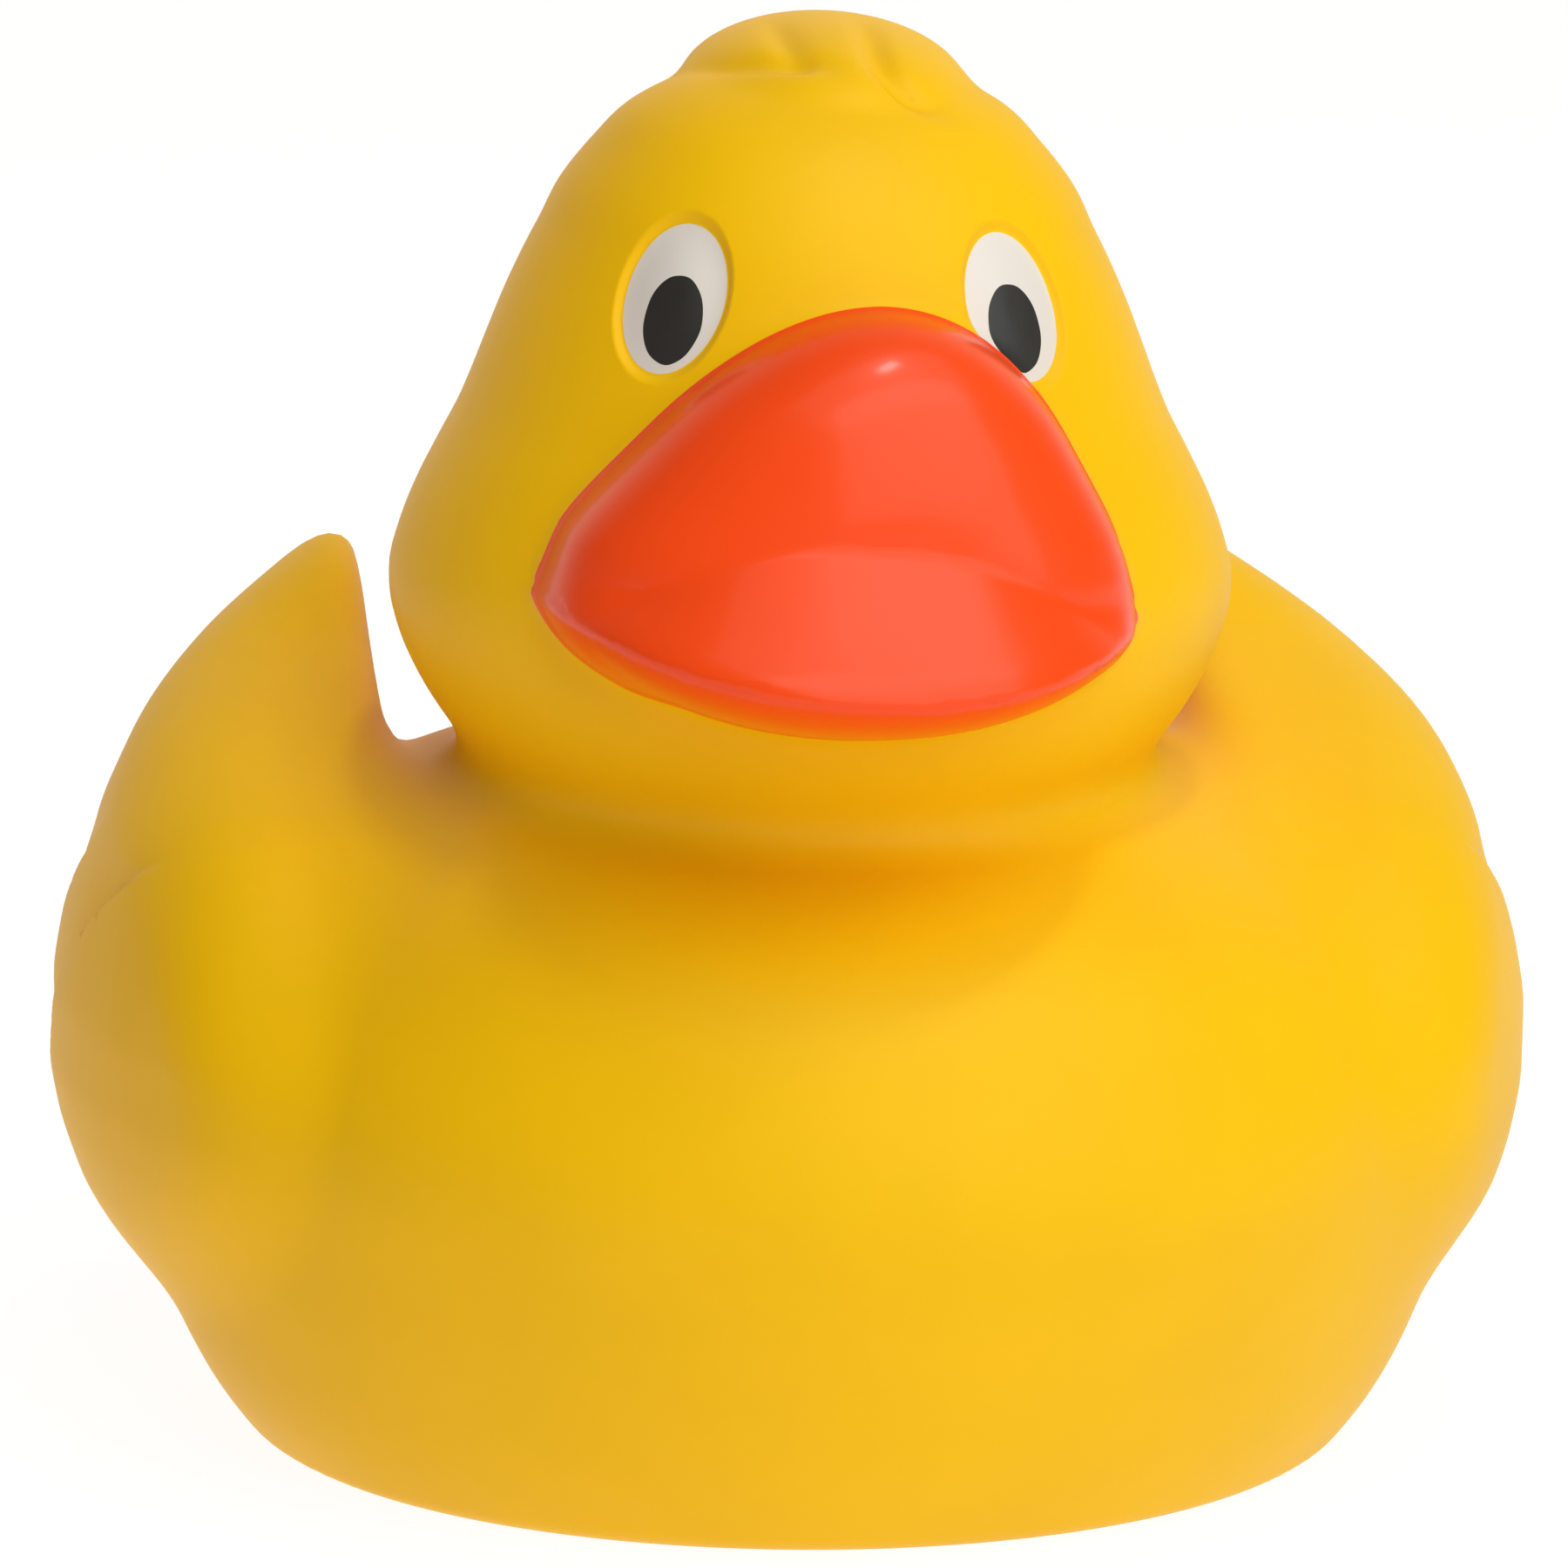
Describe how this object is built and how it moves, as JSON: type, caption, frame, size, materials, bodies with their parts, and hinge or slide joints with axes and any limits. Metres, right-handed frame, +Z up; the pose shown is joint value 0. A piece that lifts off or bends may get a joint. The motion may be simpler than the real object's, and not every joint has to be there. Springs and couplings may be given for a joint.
{
  "type": "rubber duck",
  "caption": "floating bath duck with raised wings, upturned tail, wide open bill and a tuft on its head, hollow soft vinyl with a squeaker in its flat base",
  "frame": {"origin": "centre of the bounding box in plan, on the plane of the flat base", "axes": "+Z up; the duck looks along -Y and its tail points to +Y; +X is on its own left-hand side, the viewer's right from the front"},
  "size_m": [0.0788, 0.0864, 0.0751],
  "materials": {
    "yellow_vinyl": "satin soft vinyl; the bill is sprayed glossy orange, the eyes white with black pupils",
    "squeaker_plastic": "matte natural plastic"
  },
  "bodies": {
    "root": {"duck_shell": "yellow_vinyl", "squeaker": "squeaker_plastic"}
  },
  "joints": []
}
